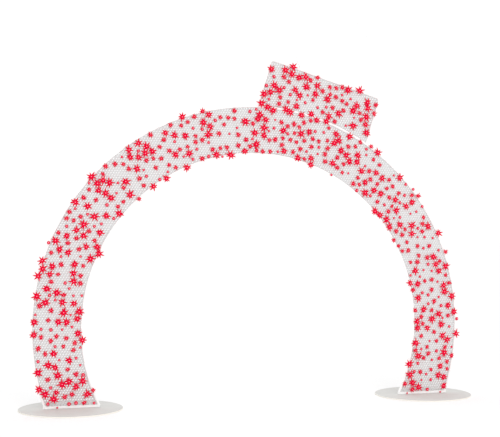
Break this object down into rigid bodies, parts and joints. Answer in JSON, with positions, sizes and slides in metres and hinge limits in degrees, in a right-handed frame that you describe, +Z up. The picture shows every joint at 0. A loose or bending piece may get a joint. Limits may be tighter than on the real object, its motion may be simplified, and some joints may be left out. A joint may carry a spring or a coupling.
{
  "type": "lighted net archway shaped like a hanging bauble, on its tube frame with base plates",
  "caption": "Walk-through horseshoe arch of pale net on white tubes with a tilted cap, hanging loop, red starburst lights and round base plates.",
  "frame": {"origin": "on the floor under the middle of the arch, midway between its two base plates", "axes": "+X across the arch towards the side the cap leans to, -Y the front with the lights, +Z up"},
  "size_m": [4.674, 1, 4.0003],
  "materials": {
    "white_tube": "satin white powder coat",
    "base_plate": "matt pale grey powder coat",
    "net": "open net of pale grey coated cord",
    "red_light": "clear red moulded plastic, lit from inside"
  },
  "bodies": {
    "root": {"outer_tube": "white_tube", "inner_tube": "white_tube", "foot_bar_left": "white_tube", "foot_bar_right": "white_tube", "cap_frame": "white_tube", "hanging_loop": "white_tube", "base_plate_left": "base_plate", "base_plate_right": "base_plate", "arch_net": "net", "cap_net": "net", "light_01": "red_light", "light_02": "red_light", "light_03": "red_light", "light_04": "red_light", "light_05": "red_light", "light_06": "red_light", "light_07": "red_light", "light_08": "red_light", "light_09": "red_light", "light_10": "red_light", "light_11": "red_light", "light_12": "red_light", "light_13": "red_light", "light_14": "red_light", "light_15": "red_light", "light_16": "red_light", "light_17": "red_light", "light_18": "red_light", "light_19": "red_light", "light_20": "red_light", "light_21": "red_light", "light_22": "red_light", "light_23": "red_light", "light_24": "red_light", "light_25": "red_light", "light_26": "red_light", "light_27": "red_light", "light_28": "red_light", "light_29": "red_light", "light_30": "red_light", "light_31": "red_light", "light_32": "red_light", "light_33": "red_light", "light_34": "red_light", "light_35": "red_light", "light_36": "red_light", "light_37": "red_light", "light_38": "red_light", "light_39": "red_light", "light_40": "red_light", "light_41": "red_light", "light_42": "red_light", "light_43": "red_light", "light_44": "red_light", "light_45": "red_light", "light_46": "red_light", "light_47": "red_light", "light_48": "red_light"}
  },
  "joints": []
}
